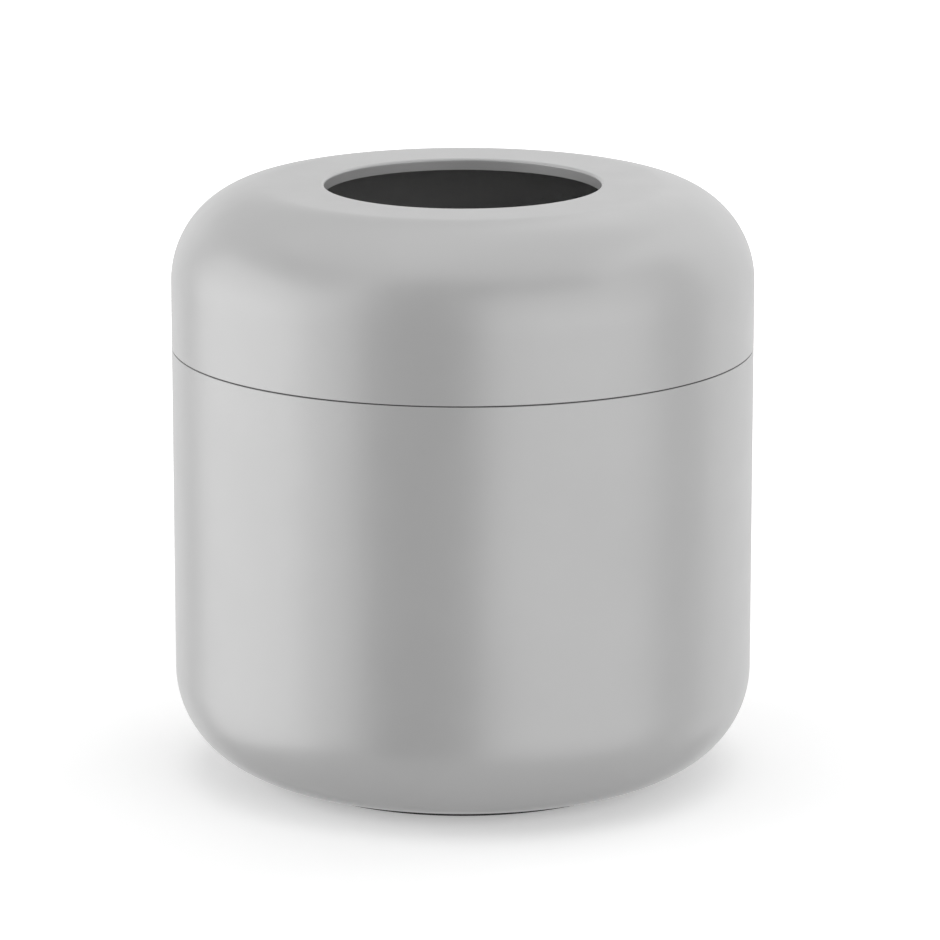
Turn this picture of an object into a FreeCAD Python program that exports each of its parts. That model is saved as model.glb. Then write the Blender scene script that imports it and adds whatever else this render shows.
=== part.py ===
"""Round wastepaper basket: a drawn sheet-metal body on a non-slip ring, a lift-off lid with a round mouth,
and a moulded bucket with a wire bail inside. Millimetres, +Z up, origin on the floor at the middle."""
import FreeCAD, Part
import math
import os
import Sketcher

Vector = FreeCAD.Vector
FULL_TURN = 360.0

# Driving dimensions in millimetres, and counts
SIZES = {
    # Whole basket
    "outer_diameter": 250.0,
    "overall_height": 257.0,
    "sheet_wall": 1.0,
    # Lid with its mouth
    "lid_height": 69.7,
    "shoulder_radius": 41.4,
    "mouth_diameter": 118.5,
    "lip_depth": 5.2,
    "mouth_round": 1.2,
    "seam_gap": 0.5,
    # Body
    "foot_height": 3.0,
    "corner_radius": 42.5,
    "hem_depth": 8.0,
    "land_width": 24.5,
    "recess_rise": 5.0,
    "recess_draft": 2.0,
    # Ring under the body
    "ring_setback": 0.5,
    "plug_wall": 5.0,
    "plug_height": 3.0,
    "plug_clearance": 0.2,
    "tread_count": 4,
    "tread_width": 2.0,
    "tread_depth": 1.0,
    # Collar in the lid
    "collar_wall": 2.0,
    "collar_grip": 14.0,
    "spigot_depth": 9.0,
    "spigot_clearance": 0.4,
    "spigot_lead": 1.2,
    "glue_gap": 0.1,
    "bead_setback": 0.4,
    # Bucket
    "bucket_clearance": 1.5,
    "bucket_headroom": 12.0,
    "bucket_wall": 1.8,
    "bucket_rim_width": 12.0,
    "bucket_rim_skirt": 7.0,
    "bucket_rim_round": 1.2,
    "bucket_taper": 6.0,
    "bucket_corner": 30.0,
    "web_count": 16,
    "web_thickness": 1.6,
    # Ears on the bucket's rim
    "ear_inset": 4.0,
    "ear_thickness": 3.0,
    "ear_width": 13.0,
    "ear_height": 8.0,
    "ear_round": 4.0,
    # Bail
    "wire_diameter": 4.0,
    "wire_clearance": 0.2,
    "bail_bend": 5.0,
    "bend_gap": 0.5,
    "head_diameter": 6.0,
    "head_thickness": 1.5,
    "head_gap": 0.3,
}

# Radii and heights that follow from the driving dimensions
OUTER_R = "(Sizes.outer_diameter / 2)"
WALL_R = f"({OUTER_R} - Sizes.sheet_wall)"
HEM_R = f"({WALL_R} - Sizes.sheet_wall)"
SKIRT_Z = "(Sizes.overall_height - Sizes.lid_height)"
RIM_Z = f"({SKIRT_Z} - Sizes.seam_gap)"
HEM_Z = f"({RIM_Z} - Sizes.hem_depth)"
LAND_R = f"({OUTER_R} - Sizes.corner_radius)"
RECESS_R = f"({LAND_R} - Sizes.land_width)"
RECESS_TOP_R = f"({RECESS_R} - Sizes.recess_draft)"
RECESS_Z = "(Sizes.foot_height + Sizes.recess_rise)"
PANEL_Z = f"({RECESS_Z} + Sizes.sheet_wall)"
SPIGOT_Z = f"({RIM_Z} - Sizes.spigot_depth)"
BUCKET_RIM_R = f"({HEM_R} - Sizes.bucket_clearance)"
BUCKET_RIM_Z = f"({SPIGOT_Z} - Sizes.bucket_headroom)"
FLANGE_Z = f"({BUCKET_RIM_Z} - Sizes.bucket_wall)"
BUCKET_MOUTH_R = f"({BUCKET_RIM_R} - Sizes.bucket_rim_width)"
EAR_OUTER_X = f"({BUCKET_RIM_R} - Sizes.ear_inset)"
EAR_INNER_X = f"({EAR_OUTER_X} - Sizes.ear_thickness)"
WIRE_R = "(Sizes.wire_diameter / 2)"
HEAD_R = "(Sizes.head_diameter / 2)"
PIVOT_Z = f"({BUCKET_RIM_Z} + Sizes.head_gap + {HEAD_R})"


def fill_sheet(document):
    """Put the driving dimensions into a sheet, one aliased row each."""
    sheet = document.addObject("Spreadsheet::Sheet", "Sizes")
    for row, (name, size) in enumerate(SIZES.items(), start=1):
        sheet.set(f"A{row}", name)
        sheet.set(f"B{row}", str(size))
        sheet.setAlias(f"B{row}", name)
    document.recompute()
    return sheet


document = FreeCAD.newDocument("WastepaperBasket")
sizes = fill_sheet(document)


def number(expression):
    """The value of an expression over the sheet."""
    return float(sizes.evalExpression(expression))


def origin_feature(body, role):
    """A plane or axis of a body's own origin."""
    return next(item for item in body.Origin.OriginFeatures if item.Role == role)


def new_body(name):
    """An empty body that one piece is built in."""
    body = document.addObject("PartDesign::Body", name)
    body.Label = name
    return body


def new_sketch(body, name, plane, offset=None):
    """A sketch on one of the body's own planes, moved along the plane's normal by an expression."""
    sketch = body.newObject("Sketcher::SketchObject", name)
    sketch.AttachmentSupport = [(origin_feature(body, plane), "")]
    sketch.MapMode = "FlatFace"
    if offset:
        sketch.setExpression("AttachmentOffset.Base.z", offset)
    return sketch


def tie(sketch, constraint, expression):
    """Add a dimension to a sketch and bind it to the sheet."""
    index = sketch.addConstraint(constraint)
    sketch.setExpression(f"Constraints[{index}]", expression)


def axis_across(direction):
    """The number that a sketch gives its own axis across X or Y."""
    return -2 if direction == "X" else -1


def hold(sketch, point, direction, expression):
    """Hold a point (geometry, end) at a place along X or Y, measured from the sketch's origin."""
    place = number(expression)
    origin = (-1, 1)
    if place == 0:
        sketch.addConstraint(Sketcher.Constraint("PointOnObject", *point, axis_across(direction)))
    elif place > 0:
        tie(sketch, Sketcher.Constraint(f"Distance{direction}", *origin, *point, place), expression)
    else:
        tie(sketch, Sketcher.Constraint(f"Distance{direction}", *point, *origin, -place), f"-({expression})")


def add_circle(sketch, x, y, radius):
    """A circle held by its centre and radius."""
    circle = Part.Circle(Vector(number(x), number(y), 0), Vector(0, 0, 1), number(radius))
    index = sketch.addGeometry(circle)
    hold(sketch, (index, 3), "X", x)
    hold(sketch, (index, 3), "Y", y)
    tie(sketch, Sketcher.Constraint("Radius", index, number(radius)), radius)


def round_corner(before, corner, after, radius):
    """The arc that rounds a corner: its first and last point, the arc, and whether it turns left."""
    way_in = (corner - before).normalize()
    way_out = (after - corner).normalize()
    turn = math.atan2(way_in.cross(way_out).z, way_in.dot(way_out))
    reach = radius * math.tan(abs(turn) / 2)
    first = corner - way_in * reach
    last = corner + way_out * reach
    side = math.copysign(radius, turn)
    centre = first + Vector(-way_in.y, way_in.x, 0) * side
    start, end = (first, last) if turn > 0 else (last, first)
    angles = [math.atan2(point.y - centre.y, point.x - centre.x) for point in (start, end)]
    arc = Part.ArcOfCircle(Part.Circle(centre, Vector(0, 0, 1), radius), *angles)
    return first, last, arc, turn > 0


def draw_outline(sketch, corners):
    """Draw a closed outline through corners (x, y, round), each an expression over the sheet or no round.

    A side whose corners share an expression is level or upright and is held there. A leaning side is held
    at both its corners, and a rounded corner becomes a tangent arc."""
    count = len(corners)
    places = [Vector(number(x), number(y), 0) for x, y, _ in corners]
    arcs = {}
    for i, (_, _, radius) in enumerate(corners):
        if radius:
            arcs[i] = round_corner(places[i - 1], places[i], places[(i + 1) % count], number(radius))
    sides = []
    for i in range(count):
        after = (i + 1) % count
        start = arcs[i][1] if i in arcs else places[i]
        end = arcs[after][0] if after in arcs else places[after]
        sides.append(sketch.addGeometry(Part.LineSegment(start, end)))
    for i, (_, _, radius) in enumerate(corners):
        before = sides[i - 1]
        if i in arcs:
            arc = sketch.addGeometry(arcs[i][2])
            first, last = (1, 2) if arcs[i][3] else (2, 1)
            sketch.addConstraint(Sketcher.Constraint("Tangent", before, 2, arc, first))
            sketch.addConstraint(Sketcher.Constraint("Tangent", arc, last, sides[i], 1))
            tie(sketch, Sketcher.Constraint("Radius", arc, number(radius)), radius)
        else:
            sketch.addConstraint(Sketcher.Constraint("Coincident", before, 2, sides[i], 1))
    hold_sides(sketch, corners, places, sides)


def hold_sides(sketch, corners, places, sides):
    """Hold each side of an outline: level and upright ones once, leaning ones at both corners."""
    count = len(corners)
    level = [corners[i][1] == corners[(i + 1) % count][1] for i in range(count)]
    upright = [corners[i][0] == corners[(i + 1) % count][0] for i in range(count)]
    for i, side in enumerate(sides):
        x, y, radius = corners[i]
        if level[i]:
            sketch.addConstraint(Sketcher.Constraint("Horizontal", side))
            hold(sketch, (side, 1), "Y", y)
        elif upright[i]:
            sketch.addConstraint(Sketcher.Constraint("Vertical", side))
            hold(sketch, (side, 1), "X", x)
        beside = (i - 1, i)
        leaning = [sides[j] for j in beside if not level[j] and not upright[j]]
        if not leaning:
            continue
        point = (side, 1)
        if radius:
            point = (sketch.addGeometry(Part.Point(places[i]), True), 1)
            for line in leaning:
                sketch.addConstraint(Sketcher.Constraint("PointOnObject", *point, line))
        if radius or not any(upright[j] for j in beside):
            hold(sketch, point, "X", x)
        if radius or not any(level[j] for j in beside):
            hold(sketch, point, "Y", y)


def turn_body(name, corners):
    """A body turned about the upright axis from a half section of corners (radius, height, round)."""
    body = new_body(name)
    sketch = new_sketch(body, f"{name}_section", "XZ_Plane")
    draw_outline(sketch, corners)
    turned = body.newObject("PartDesign::Revolution", f"{name}_turned")
    turned.Profile = sketch
    turned.ReferenceAxis = (sketch, ["V_Axis"])
    turned.Angle = FULL_TURN
    return body


def pad(body, sketch, name, length):
    """A pad along the sketch's normal."""
    feature = body.newObject("PartDesign::Pad", name)
    feature.Profile = sketch
    feature.setExpression("Length", length)
    return feature


def mirror(body, name, features):
    """The same features again on the other side of the X = 0 plane."""
    mirrored = body.newObject("PartDesign::Mirrored", name)
    mirrored.Originals = features
    mirrored.MirrorPlane = (origin_feature(body, "YZ_Plane"), [""])
    body.Tip = mirrored


def make_body_shell():
    """The drawn can: a raised base panel, a large rounded edge, straight walls and a rim folded inwards."""
    floor_z = "Sizes.foot_height + Sizes.sheet_wall"
    return turn_body("body_shell", [
        ("0", RECESS_Z, None),
        (RECESS_TOP_R, RECESS_Z, None),
        (RECESS_R, "Sizes.foot_height", None),
        (OUTER_R, "Sizes.foot_height", "Sizes.corner_radius"),
        (OUTER_R, RIM_Z, None),
        (HEM_R, RIM_Z, "Sizes.sheet_wall"),
        (HEM_R, HEM_Z, None),
        (WALL_R, HEM_Z, None),
        (WALL_R, floor_z, "Sizes.corner_radius - Sizes.sheet_wall"),
        (f"{RECESS_R} + Sizes.sheet_wall", floor_z, None),
        (f"{RECESS_TOP_R} + Sizes.sheet_wall", PANEL_Z, None),
        ("0", PANEL_Z, None),
    ])


def make_base_ring():
    """The ring that the basket stands on: plugged into the base's recess, with round treads underneath."""
    outer_r = f"({LAND_R} - Sizes.ring_setback)"
    plug_r = f"({RECESS_TOP_R} - Sizes.plug_clearance)"
    bore_r = f"({plug_r} - Sizes.plug_wall)"
    plug_z = "Sizes.foot_height + Sizes.plug_height"
    body = turn_body("base_ring", [
        (bore_r, "0", None),
        (outer_r, "0", None),
        (outer_r, "Sizes.foot_height", None),
        (plug_r, "Sizes.foot_height", None),
        (plug_r, plug_z, None),
        (bore_r, plug_z, None),
    ])
    sketch = new_sketch(body, "tread_section", "XZ_Plane")
    tread_pitch = f"({outer_r} - {bore_r}) / (Sizes.tread_count + 1)"
    for tread in range(1, round(number("Sizes.tread_count")) + 1):
        middle = f"{bore_r} + {tread} * {tread_pitch}"
        near, far = f"{middle} - Sizes.tread_width / 2", f"{middle} + Sizes.tread_width / 2"
        draw_outline(sketch, [(near, "0", None), (far, "0", None), (middle, "Sizes.tread_depth", None)])
    treads = body.newObject("PartDesign::Groove", "treads")
    treads.Profile = sketch
    treads.ReferenceAxis = (sketch, ["V_Axis"])
    treads.Angle = FULL_TURN
    return body


def make_lid_shell():
    """The drawn lid: a skirt, a rounded shoulder, a flat top and a round mouth with a turned-down lip."""
    mouth_r = "(Sizes.mouth_diameter / 2)"
    lip_r = f"({mouth_r} + Sizes.sheet_wall)"
    lip_z = "Sizes.overall_height - Sizes.lip_depth"
    under_z = "Sizes.overall_height - Sizes.sheet_wall"
    return turn_body("lid_shell", [
        (mouth_r, lip_z, None),
        (lip_r, lip_z, None),
        (lip_r, under_z, None),
        (WALL_R, under_z, "Sizes.shoulder_radius - Sizes.sheet_wall"),
        (WALL_R, SKIRT_Z, None),
        (OUTER_R, SKIRT_Z, None),
        (OUTER_R, "Sizes.overall_height", "Sizes.shoulder_radius"),
        (mouth_r, "Sizes.overall_height", "Sizes.mouth_round"),
    ])


def make_lid_collar():
    """The ring bonded inside the lid's skirt: a bead fills the seam and a spigot enters the body."""
    grip_r = f"{WALL_R} - Sizes.glue_gap"
    bead_r = f"{OUTER_R} - Sizes.bead_setback"
    spigot_r = f"({HEM_R} - Sizes.spigot_clearance)"
    bore_r = f"{spigot_r} - Sizes.collar_wall"
    grip_z = f"{SKIRT_Z} + Sizes.collar_grip"
    return turn_body("lid_collar", [
        (bore_r, SPIGOT_Z, None),
        (f"{spigot_r} - Sizes.spigot_lead", SPIGOT_Z, None),
        (spigot_r, f"{SPIGOT_Z} + Sizes.spigot_lead", None),
        (spigot_r, RIM_Z, None),
        (bead_r, RIM_Z, None),
        (bead_r, SKIRT_Z, None),
        (grip_r, SKIRT_Z, None),
        (grip_r, grip_z, None),
        (bore_r, grip_z, None),
    ])


def make_inner_bucket():
    """The tapered bucket: a wide rim with a turned-down edge, webs under it and two ears for the bail."""
    base_r = f"({BUCKET_MOUTH_R} - Sizes.bucket_taper)"
    skirt_r = f"({BUCKET_RIM_R} - Sizes.bucket_wall)"
    skirt_z = f"({BUCKET_RIM_Z} - Sizes.bucket_rim_skirt)"
    outside_r = f"({BUCKET_MOUTH_R} + Sizes.bucket_wall)"
    body = turn_body("inner_bucket", [
        ("0", PANEL_Z, None),
        (f"{base_r} + Sizes.bucket_wall", PANEL_Z, "Sizes.bucket_corner"),
        (outside_r, FLANGE_Z, None),
        (skirt_r, FLANGE_Z, None),
        (skirt_r, skirt_z, None),
        (BUCKET_RIM_R, skirt_z, None),
        (BUCKET_RIM_R, BUCKET_RIM_Z, "Sizes.bucket_rim_round"),
        (BUCKET_MOUTH_R, BUCKET_RIM_Z, None),
        (base_r, f"{PANEL_Z} + Sizes.bucket_wall", "Sizes.bucket_corner - Sizes.bucket_wall"),
        ("0", f"{PANEL_Z} + Sizes.bucket_wall", None),
    ])
    add_rim_webs(body, skirt_r, skirt_z)
    add_bail_ears(body)
    return body


def add_rim_webs(body, skirt_r, skirt_z):
    """Webs under the bucket's rim, from its wall out to the turned-down edge."""
    web_in_r = f"({BUCKET_MOUTH_R} + Sizes.bucket_wall / 2)"
    web_out_r = f"({skirt_r} + Sizes.bucket_wall / 2)"
    web_top_z = f"({FLANGE_Z} + Sizes.bucket_wall / 2)"
    sketch = new_sketch(body, "web_section", "XZ_Plane", "-Sizes.web_thickness / 2")
    draw_outline(sketch, [
        (web_in_r, skirt_z, None),
        (web_out_r, skirt_z, None),
        (web_out_r, web_top_z, None),
        (web_in_r, web_top_z, None),
    ])
    web = pad(body, sketch, "rim_web", "Sizes.web_thickness")
    webs = body.newObject("PartDesign::PolarPattern", "rim_webs")
    webs.Originals = [web]
    webs.Axis = (origin_feature(body, "Z_Axis"), [""])
    webs.Angle = FULL_TURN
    webs.setExpression("Occurrences", "Sizes.web_count")
    body.Tip = webs


def add_bail_ears(body):
    """Two drilled ears that stand on the bucket's rim."""
    half, top = "Sizes.ear_width / 2", f"{BUCKET_RIM_Z} + Sizes.ear_height"
    sketch = new_sketch(body, "ear_section", "YZ_Plane", EAR_INNER_X)
    draw_outline(sketch, [
        (f"-{half}", FLANGE_Z, None),
        (half, FLANGE_Z, None),
        (half, top, "Sizes.ear_round"),
        (f"-{half}", top, "Sizes.ear_round"),
    ])
    add_circle(sketch, "0", PIVOT_Z, f"{WIRE_R} + Sizes.wire_clearance")
    ear = pad(body, sketch, "ear", "Sizes.ear_thickness")
    mirror(body, "ears", [ear])


def draw_bail_path(path, end_x, bend_x):
    """The wire's middle line, lying level: a straight pivot at each end, a bend, and a bow between them."""
    end, bend, drop = number(end_x), number(bend_x), number("Sizes.bail_bend")
    up = Vector(0, 0, 1)
    middle = axis_across("X")
    right_end = path.addGeometry(Part.LineSegment(Vector(end, 0, 0), Vector(bend, 0, 0)))
    right_circle = Part.Circle(Vector(bend, -drop, 0), up, drop)
    right_bend = path.addGeometry(Part.ArcOfCircle(right_circle, math.pi / 2, math.pi))
    bow_circle = Part.Circle(Vector(0, -drop, 0), up, bend - drop)
    bow = path.addGeometry(Part.ArcOfCircle(bow_circle, math.pi, 2 * math.pi))
    left_circle = Part.Circle(Vector(-bend, -drop, 0), up, drop)
    left_bend = path.addGeometry(Part.ArcOfCircle(left_circle, 0, math.pi / 2))
    left_end = path.addGeometry(Part.LineSegment(Vector(-bend, 0, 0), Vector(-end, 0, 0)))
    path.addConstraint(Sketcher.Constraint("Tangent", right_end, 2, right_bend, 1))
    path.addConstraint(Sketcher.Constraint("Tangent", right_bend, 2, bow, 2))
    path.addConstraint(Sketcher.Constraint("Tangent", bow, 1, left_bend, 1))
    path.addConstraint(Sketcher.Constraint("Tangent", left_bend, 2, left_end, 1))
    path.addConstraint(Sketcher.Constraint("Horizontal", right_end))
    path.addConstraint(Sketcher.Constraint("Symmetric", right_end, 1, left_end, 2, middle))
    path.addConstraint(Sketcher.Constraint("Symmetric", right_end, 2, left_end, 1, middle))
    path.addConstraint(Sketcher.Constraint("PointOnObject", bow, 3, middle))
    path.addConstraint(Sketcher.Constraint("Horizontal", bow, 3, right_bend, 3))
    hold(path, (right_end, 1), "X", end_x)
    hold(path, (right_end, 1), "Y", "0")
    hold(path, (right_end, 2), "X", bend_x)
    tie(path, Sketcher.Constraint("Radius", right_bend, drop), "Sizes.bail_bend")


def make_bail_handle():
    """The wire bail, laid down over the bucket's rim, with a peened head on each end outside its ear."""
    body = new_body("bail_handle")
    end_x = f"({EAR_OUTER_X} + Sizes.head_gap)"
    bend_x = f"({EAR_INNER_X} - Sizes.bend_gap)"
    path = new_sketch(body, "bail_path", "XY_Plane", PIVOT_Z)
    draw_bail_path(path, end_x, bend_x)
    section = new_sketch(body, "wire_section", "YZ_Plane", end_x)
    add_circle(section, "0", PIVOT_Z, WIRE_R)
    document.recompute()
    wire = body.newObject("PartDesign::AdditivePipe", "wire")
    wire.Profile = section
    wire.Spine = (path, [f"Edge{edge}" for edge in range(1, path.GeometryCount + 1)])
    head_section = new_sketch(body, "head_section", "YZ_Plane", end_x)
    add_circle(head_section, "0", PIVOT_Z, HEAD_R)
    head = pad(body, head_section, "peened_head", "Sizes.head_thickness")
    mirror(body, "peened_heads", [head])
    return body


PIECES = [
    make_body_shell(),
    make_base_ring(),
    make_lid_shell(),
    make_lid_collar(),
    make_inner_bucket(),
    make_bail_handle(),
]
document.recompute()

# Nothing is written unless every object and every piece is sound
for item in document.Objects:
    if "Invalid" in item.State or "Error" in item.State:
        raise RuntimeError(f"{item.Name} failed: {item.State}")
    if item.isDerivedFrom("Sketcher::SketchObject") and not item.FullyConstrained:
        raise RuntimeError(f"{item.Name} is not fully constrained")
for piece in PIECES:
    if piece.Shape.isNull() or not piece.Shape.isValid() or len(piece.Shape.Solids) != 1:
        raise RuntimeError(f"{piece.Label} is not one sound solid")

os.makedirs("parts", exist_ok=True)
for piece in PIECES:
    piece.Shape.exportStep(os.path.join("parts", f"{piece.Label}.step"))
    print(piece.Label, f"{piece.Shape.Volume:.1f} mm3")
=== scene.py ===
"""Looks of the round wastepaper basket: lacquered shells, a moulded bucket, a wire bail, a rubber ring.

Metres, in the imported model's own frame: +Z up, the camera on the -Y side."""
import math
from typing import NamedTuple

import bpy
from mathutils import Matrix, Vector


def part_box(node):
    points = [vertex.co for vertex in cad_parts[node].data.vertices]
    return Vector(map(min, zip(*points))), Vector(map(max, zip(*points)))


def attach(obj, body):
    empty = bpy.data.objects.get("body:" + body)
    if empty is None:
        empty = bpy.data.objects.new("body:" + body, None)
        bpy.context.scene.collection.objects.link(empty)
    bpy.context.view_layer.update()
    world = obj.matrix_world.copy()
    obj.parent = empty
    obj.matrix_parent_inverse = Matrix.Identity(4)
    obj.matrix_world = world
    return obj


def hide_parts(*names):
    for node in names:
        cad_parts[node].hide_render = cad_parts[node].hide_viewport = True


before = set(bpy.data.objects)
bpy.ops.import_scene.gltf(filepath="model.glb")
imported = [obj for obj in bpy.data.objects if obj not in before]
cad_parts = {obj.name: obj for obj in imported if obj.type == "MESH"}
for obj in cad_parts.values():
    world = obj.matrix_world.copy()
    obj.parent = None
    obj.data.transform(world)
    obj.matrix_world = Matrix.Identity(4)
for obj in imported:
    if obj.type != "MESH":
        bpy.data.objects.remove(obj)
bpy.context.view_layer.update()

MM = 0.001
WHITE = (1, 1, 1, 1)
BLACK = (0, 0, 0, 1)

# Section of the shells, beside what the frame gives
SHEET = 1.0 * MM
SHOULDER_RADIUS = 41.4 * MM
CORNER_RADIUS = 42.5 * MM
MOUTH_RADIUS = 59.25 * MM
LIP_DEPTH = 5.2 * MM
LIP_ROUND = 1.2 * MM
HEM_DEPTH = 8.0 * MM
LAND_WIDTH = 24.5 * MM
RECESS_RISE = 5.0 * MM
RECESS_DRAFT = 2.0 * MM
EDGE_ROUND = 0.3 * MM
PRESS_BEND = 1.5 * MM

# Fineness of turned meshes
AROUND = 192
ARC_STEP = math.radians(4)
LEAST_ARC_STEPS = 4


class Finish(NamedTuple):
    """A surface whose tone, roughness and relief vary with noises, given in waves to the metre."""
    name: str
    dark: tuple
    light: tuple
    roughness: tuple
    tone_waves: float
    roughness_waves: float
    relief_waves: float
    relief: float
    metallic: float = 0.0


# Finishes
NOISE_DETAIL = 3.0
NOISE_LOW, NOISE_HIGH = 0.3, 0.7
SATIN_LACQUER = Finish(
    "satin_lacquer", dark=(0.51, 0.51, 0.51), light=(0.53, 0.53, 0.53), roughness=(0.32, 0.36),
    tone_waves=14, roughness_waves=60, relief_waves=700, relief=0.002 * MM, metallic=0.35,
)
ZINC_WIRE = Finish(
    "zinc_wire", dark=(0.50, 0.50, 0.51), light=(0.62, 0.62, 0.63), roughness=(0.26, 0.40),
    tone_waves=160, roughness_waves=300, relief_waves=900, relief=0.01 * MM, metallic=1.0,
)
MOULDED = {"tone_waves": 25, "roughness_waves": 90, "relief_waves": 1800, "relief": 0.02 * MM}
COLLAR_PLASTIC = Finish(
    "collar_plastic_look", dark=(0.055, 0.055, 0.056), light=(0.070, 0.070, 0.071),
    roughness=(0.50, 0.60), **MOULDED,
)
BUCKET_PLASTIC = Finish(
    "bucket_plastic_look", dark=(0.575, 0.575, 0.575), light=(0.600, 0.600, 0.600),
    roughness=(0.45, 0.55), **MOULDED,
)
BASE_RUBBER = Finish(
    "base_rubber_look", dark=(0.050, 0.050, 0.050), light=(0.065, 0.065, 0.065),
    roughness=(0.75, 0.85), **MOULDED,
)
NODE_FINISHES = {
    "lid_collar": COLLAR_PLASTIC,
    "inner_bucket": BUCKET_PLASTIC,
    "base_ring": BASE_RUBBER,
    "bail_handle": ZINC_WIRE,
}

# Camera, fitted to the photograph's outline
CAMERA_PLACE = Vector((0.0, -2.200, 0.6568))
CAMERA_AIM = Vector((0.0031, 0.0, 0.1309))
LENS_MM = 200.3
SENSOR_MM = 36.0

# Floor, with a glow that grows from near the basket to far from it, and the world
FLOOR_WIDTH = 24.0
FLOOR_COLOUR = (0.85, 0.85, 0.85, 1)
FLOOR_ROUGHNESS = 0.9
GLOW_NEAR, GLOW_FAR = 0.30, 1.0
GLOW_START, GLOW_END = 0.2, 0.9
AMBIENT = 0.40

# Lamps and cards stand round the basket at this distance
STUDIO_RADIUS = 1.6
# Lamps: name, degrees to the right of the camera, width, height, radiance
LAMPS = (
    ("left_panel", -84, 1.85, 1.2, 2.0),
    ("right_panel", 42, 1.85, 1.2, 1.2),
    ("rim_panel", 125, 1.4, 2.0, 0.8),
)
TOP_WIDTH, TOP_LENGTH, TOP_RADIANCE = 1.7, 2.4, 1.15
TOP_PLACE = (0.15, 0.2, 1.75)

# What reflections show beside white. Heights at which cards begin, meet and end
CARD_FOOT = -1.15
LEFT_MIDDLE, LEFT_TOP = 0.45, 1.05
RIGHT_MIDDLE, RIGHT_TOP = 0.50, 1.3
REAR_MIDDLE = 0.75
# Cards: name, degrees to the right of the camera, width, lower edge, upper edge, radiance
CARDS = (
    ("left_card", -93, 1.85, CARD_FOOT, LEFT_MIDDLE, 1.48),
    ("left_upper_card", -93, 1.85, LEFT_MIDDLE, LEFT_TOP, 1.20),
    ("front_card", -16, 1.35, CARD_FOOT, 2.6, 0.20),
    ("right_card", 42, 1.85, CARD_FOOT, RIGHT_MIDDLE, 1.05),
    ("right_upper_card", 42, 1.85, RIGHT_MIDDLE, RIGHT_TOP, 0.85),
    ("high_right_card", 32, 1.9, RIGHT_TOP, 2.3, 0.32),
    ("side_card", 92, 0.8, CARD_FOOT, 1.5, 0.55),
    ("high_left_card", -84, 1.85, LEFT_TOP, 2.2, 0.52),
    ("rear_card", -150, 2.2, REAR_MIDDLE, 2.2, 0.60),
    ("left_rear_card", -130, 0.42, CARD_FOOT, REAR_MIDDLE, 0.55),
)
# Level cards: name, width, height, radiance
LEVEL_CARDS = (
    ("ground_card", 3.2, CARD_FOOT, 0.54),
    ("top_card", 2.4, 1.8, 0.72),
)


def round_corner(before, corner, after, radius):
    """Points with their normals along the arc that rounds a corner of a section."""
    way_in = (corner - before).normalized()
    way_out = (after - corner).normalized()
    turn = math.atan2(way_in.x * way_out.y - way_in.y * way_out.x, way_in.dot(way_out))
    reach = radius * math.tan(abs(turn) / 2)
    normal = Vector((way_in.y, -way_in.x))
    centre = corner - way_in * reach - normal * math.copysign(radius, turn)
    steps = max(LEAST_ARC_STEPS, math.ceil(abs(turn) / ARC_STEP))
    points = []
    for step in range(steps + 1):
        angle = turn * step / steps
        out = Vector((
            normal.x * math.cos(angle) - normal.y * math.sin(angle),
            normal.x * math.sin(angle) + normal.y * math.cos(angle),
        ))
        points.append((centre + out * math.copysign(radius, turn), out))
    return points


def section(corners):
    """The closed section through corners (radius, height, round): its points with their normals.

    Corners run so that the solid lies to the left. One without a round is on the axis: facing down
    where the section begins, and up where it ends."""
    places = [Vector(corner[:2]) for corner in corners]
    points = []
    for i, (_, _, rounding) in enumerate(corners):
        if rounding:
            after = places[(i + 1) % len(places)]
            points += round_corner(places[i - 1], places[i], after, rounding)
        else:
            points.append((places[i], Vector((0, 1 if i else -1))))
    return points


def add_to_scene(item):
    """Link an object into the scene."""
    bpy.context.collection.objects.link(item)
    return item


def lathe(name, corners):
    """A mesh piece turned about the upright axis, with the exact normals of its section."""
    places, normals, rings = [], [], []
    for place, normal in section(corners):
        count = AROUND if place.x > 0 else 1
        rings.append([len(places) + step for step in range(count)])
        for step in range(count):
            angle = math.tau * step / AROUND
            across, along = math.cos(angle), math.sin(angle)
            places.append((place.x * across, place.x * along, place.y))
            normals.append((normal.x * across, normal.x * along, normal.y))
    faces = []
    for i, ring in enumerate(rings):
        other = rings[(i + 1) % len(rings)]
        if len(ring) == len(other) == 1:
            continue
        for step in range(AROUND):
            after = step + 1
            loop = (
                ring[step % len(ring)], ring[after % len(ring)],
                other[after % len(other)], other[step % len(other)],
            )
            faces.append(list(dict.fromkeys(loop)))
    mesh = bpy.data.meshes.new(name)
    mesh.from_pydata(places, [], faces)
    mesh.polygons.foreach_set("use_smooth", [True] * len(faces))
    mesh.normals_split_custom_set_from_vertices(normals)
    return add_to_scene(bpy.data.objects.new(name, mesh))


def make_body():
    """The drawn body with its raised base panel, large rounded edge and folded rim."""
    low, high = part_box("body_shell")
    outer, foot, rim = high.x, low.z, high.z
    wall, hem = outer - SHEET, outer - 2 * SHEET
    recess = outer - CORNER_RADIUS - LAND_WIDTH
    recess_top = recess - RECESS_DRAFT
    panel = foot + RECESS_RISE
    return lathe("body_drawn", [
        (0, panel, 0),
        (recess_top, panel, PRESS_BEND),
        (recess, foot, PRESS_BEND),
        (outer, foot, CORNER_RADIUS),
        (outer, rim, EDGE_ROUND),
        (hem, rim, SHEET),
        (hem, rim - HEM_DEPTH, EDGE_ROUND),
        (wall, rim - HEM_DEPTH, EDGE_ROUND),
        (wall, foot + SHEET, CORNER_RADIUS - SHEET),
        (recess + SHEET, foot + SHEET, PRESS_BEND),
        (recess_top + SHEET, panel + SHEET, PRESS_BEND),
        (0, panel + SHEET, 0),
    ])


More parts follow.
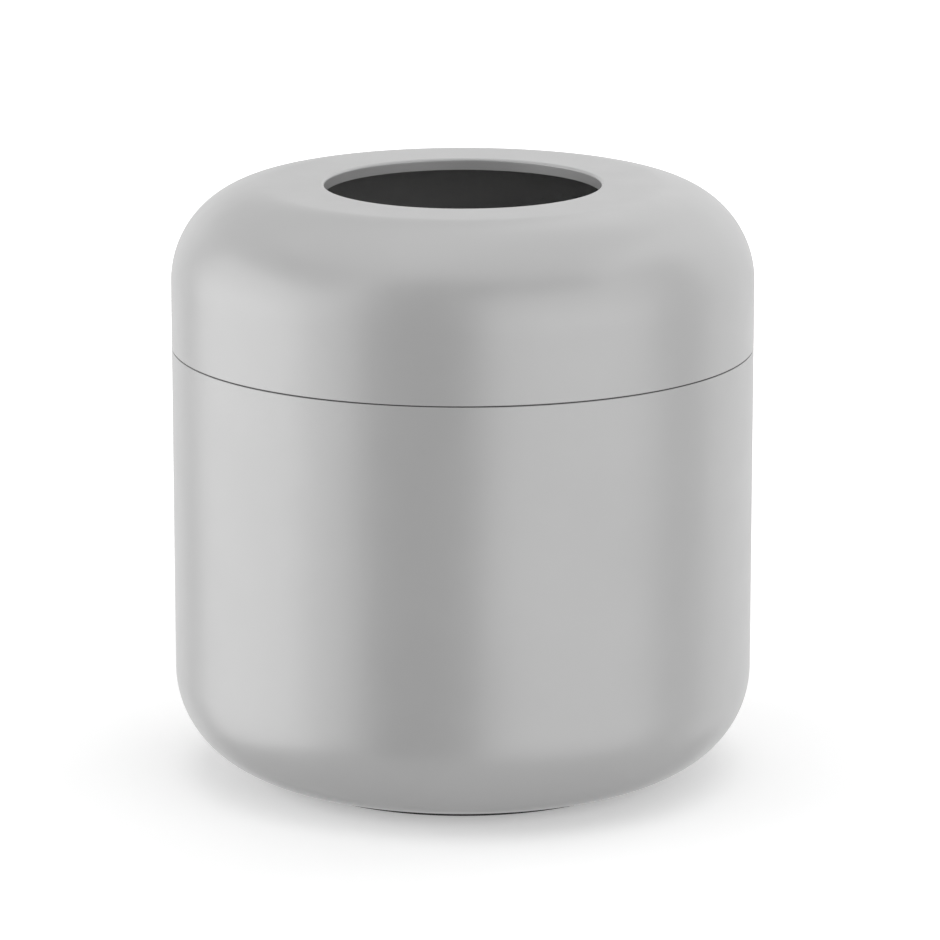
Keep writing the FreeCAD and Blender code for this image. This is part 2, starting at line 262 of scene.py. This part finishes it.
def make_lid():
    """The drawn lid with its shoulder, flat top and mouth with a turned-down lip."""
    low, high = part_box("lid_shell")
    outer, skirt, top = high.x, low.z, high.z
    wall, lip = outer - SHEET, MOUTH_RADIUS + SHEET
    return lathe("lid_drawn", [
        (MOUTH_RADIUS, top - LIP_DEPTH, EDGE_ROUND),
        (lip, top - LIP_DEPTH, EDGE_ROUND),
        (lip, top - SHEET, EDGE_ROUND),
        (wall, top - SHEET, SHOULDER_RADIUS - SHEET),
        (wall, skirt, EDGE_ROUND),
        (outer, skirt, EDGE_ROUND),
        (outer, top, SHOULDER_RADIUS),
        (MOUTH_RADIUS, top, LIP_ROUND),
    ])


def new_material(name):
    """A new material, its node tree and its shader."""
    material = bpy.data.materials.new(name)
    material.use_nodes = True
    tree = material.node_tree
    return material, tree, tree.nodes["Principled BSDF"]


def noise(tree, waves):
    """Noise over the piece's own coordinates, in waves to the metre."""
    coordinates = tree.nodes.new("ShaderNodeTexCoord")
    texture = tree.nodes.new("ShaderNodeTexNoise")
    texture.inputs["Scale"].default_value = waves
    texture.inputs["Detail"].default_value = NOISE_DETAIL
    tree.links.new(coordinates.outputs["Object"], texture.inputs["Vector"])
    return texture.outputs["Fac"]


def spread(tree, fac, low, high):
    """A value that runs from low to high with the middle of a noise."""
    node = tree.nodes.new("ShaderNodeMapRange")
    node.inputs["From Min"].default_value = NOISE_LOW
    node.inputs["From Max"].default_value = NOISE_HIGH
    node.inputs["To Min"].default_value = low
    node.inputs["To Max"].default_value = high
    tree.links.new(fac, node.inputs["Value"])
    return node.outputs["Result"]


def tint(tree, fac, low, high):
    """A colour that runs from low to high with the middle of a noise."""
    ramp = tree.nodes.new("ShaderNodeValToRGB")
    first, last = ramp.color_ramp.elements
    first.position, last.position = NOISE_LOW, NOISE_HIGH
    first.color, last.color = (*low, 1), (*high, 1)
    tree.links.new(fac, ramp.inputs["Fac"])
    return ramp.outputs["Color"]


def bump(tree, fac, height):
    """A normal from a noise of a height in metres."""
    node = tree.nodes.new("ShaderNodeBump")
    node.inputs["Distance"].default_value = height
    tree.links.new(fac, node.inputs["Height"])
    return node.outputs["Normal"]


def surface(finish):
    """The material of a finish."""
    material, tree, shader = new_material(finish.name)
    shader.inputs["Metallic"].default_value = finish.metallic
    tone = tint(tree, noise(tree, finish.tone_waves), finish.dark, finish.light)
    roughness = spread(tree, noise(tree, finish.roughness_waves), *finish.roughness)
    relief = bump(tree, noise(tree, finish.relief_waves), finish.relief)
    tree.links.new(tone, shader.inputs["Base Color"])
    tree.links.new(roughness, shader.inputs["Roughness"])
    tree.links.new(relief, shader.inputs["Normal"])
    return material


def rectangle(name, width, length):
    """A flat rectangle about the origin."""
    x, y = width / 2, length / 2
    mesh = bpy.data.meshes.new(name)
    mesh.from_pydata([(-x, -y, 0), (x, -y, 0), (x, y, 0), (-x, y, 0)], [], [(0, 1, 2, 3)])
    return bpy.data.objects.new(name, mesh)


def seen_ray(tree):
    """1 for rays that show a background: from the camera, a reflection or a clear piece."""
    path = tree.nodes.new("ShaderNodeLightPath")
    value = path.outputs["Is Camera Ray"]
    for kind in ("Is Glossy Ray", "Is Transmission Ray"):
        largest = tree.nodes.new("ShaderNodeMath")
        largest.operation = "MAXIMUM"
        tree.links.new(value, largest.inputs[0])
        tree.links.new(path.outputs[kind], largest.inputs[1])
        value = largest.outputs[0]
    return value


def make_floor():
    """A plain pale floor that keeps the shadow and reads as white beyond it.

    Reflections leave it out, because in the photograph their bands run on below its level."""
    floor = add_to_scene(rectangle("floor", FLOOR_WIDTH, FLOOR_WIDTH))
    floor.visible_glossy = False
    material, tree, shader = new_material("pale_floor")
    shader.inputs["Base Color"].default_value = FLOOR_COLOUR
    shader.inputs["Roughness"].default_value = FLOOR_ROUGHNESS
    shader.inputs["Specular IOR Level"].default_value = 0.0
    shader.inputs["Emission Color"].default_value = WHITE
    coordinates = tree.nodes.new("ShaderNodeTexCoord")
    distance = tree.nodes.new("ShaderNodeVectorMath")
    distance.operation = "LENGTH"
    tree.links.new(coordinates.outputs["Object"], distance.inputs[0])
    glow = tree.nodes.new("ShaderNodeMapRange")
    glow.interpolation_type = "SMOOTHSTEP"
    glow.inputs["From Min"].default_value = GLOW_START
    glow.inputs["From Max"].default_value = GLOW_END
    glow.inputs["To Min"].default_value = GLOW_NEAR
    glow.inputs["To Max"].default_value = GLOW_FAR
    tree.links.new(distance.outputs["Value"], glow.inputs["Value"])
    seen = tree.nodes.new("ShaderNodeMath")
    seen.operation = "MULTIPLY"
    tree.links.new(glow.outputs["Result"], seen.inputs[0])
    tree.links.new(seen_ray(tree), seen.inputs[1])
    tree.links.new(seen.outputs[0], shader.inputs["Emission Strength"])
    floor.data.materials.append(material)


def make_world():
    """White where it is seen, and a lower even light on everything else."""
    world = bpy.data.worlds.new("studio")
    bpy.context.scene.world = world
    world.use_nodes = True
    tree = world.node_tree
    strength = tree.nodes.new("ShaderNodeMapRange")
    strength.inputs["To Min"].default_value = AMBIENT
    strength.inputs["To Max"].default_value = 1.0
    tree.links.new(seen_ray(tree), strength.inputs["Value"])
    background = tree.nodes["Background"]
    background.inputs["Color"].default_value = WHITE
    tree.links.new(strength.outputs["Result"], background.inputs["Strength"])


def stand(item, azimuth, height):
    """Stand a lamp or a card round the basket, at degrees to the right of the camera."""
    angle = math.radians(azimuth)
    item.location = (
        STUDIO_RADIUS * math.sin(angle), -STUDIO_RADIUS * math.cos(angle), height,
    )
    item.rotation_euler = (math.pi / 2, 0, angle)
    add_to_scene(item)


def softbox(name, width, tall, radiance):
    """A soft rectangular lamp that lights but isn't seen, where a radiance of 1 is white."""
    lamp = bpy.data.lights.new(name, "AREA")
    lamp.shape = "RECTANGLE"
    lamp.size, lamp.size_y = width, tall
    lamp.energy = radiance * math.pi * width * tall
    item = bpy.data.objects.new(name, lamp)
    item.visible_camera = False
    item.visible_glossy = False
    return item


def card(name, width, tall, radiance):
    """A glowing card that only reflections show."""
    item = rectangle(name, width, tall)
    material, _, shader = new_material(name)
    shader.inputs["Base Color"].default_value = BLACK
    shader.inputs["Specular IOR Level"].default_value = 0.0
    shader.inputs["Emission Color"].default_value = WHITE
    shader.inputs["Emission Strength"].default_value = radiance
    material.cycles.emission_sampling = "NONE"
    item.data.materials.append(material)
    item.visible_camera = False
    item.visible_diffuse = False
    item.visible_shadow = False
    return item


def light_studio():
    """Soft lamps round the basket and overhead, and cards for the lacquer's light and dark bands."""
    for name, azimuth, width, tall, radiance in LAMPS:
        stand(softbox(name, width, tall, radiance), azimuth, tall / 2)
    for name, azimuth, width, low, high, radiance in CARDS:
        stand(card(name, width, high - low, radiance), azimuth, (low + high) / 2)
    for name, width, height, radiance in LEVEL_CARDS:
        add_to_scene(card(name, width, width, radiance)).location.z = height
    add_to_scene(softbox("top_panel", TOP_WIDTH, TOP_LENGTH, TOP_RADIANCE)).location = TOP_PLACE


def make_camera():
    """The photograph's viewpoint."""
    camera = add_to_scene(bpy.data.objects.new("camera", bpy.data.cameras.new("camera")))
    camera.data.lens = LENS_MM
    camera.data.sensor_width = SENSOR_MM
    camera.location = CAMERA_PLACE
    camera.rotation_euler = (CAMERA_AIM - CAMERA_PLACE).to_track_quat("-Z", "Y").to_euler()
    bpy.context.scene.camera = camera


# Shells drawn anew
lacquer = surface(SATIN_LACQUER)
for piece, node, body in ((make_body(), "body_shell", "body"), (make_lid(), "lid_shell", "lid")):
    piece.data.materials.append(lacquer)
    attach(piece, body)
    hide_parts(node)

# Nodes that keep their CAD mesh
for node, finish in NODE_FINISHES.items():
    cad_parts[node].material_slots[0].material = surface(finish)

make_floor()
make_world()
light_studio()
make_camera()
bpy.context.scene.view_settings.view_transform = "Standard"
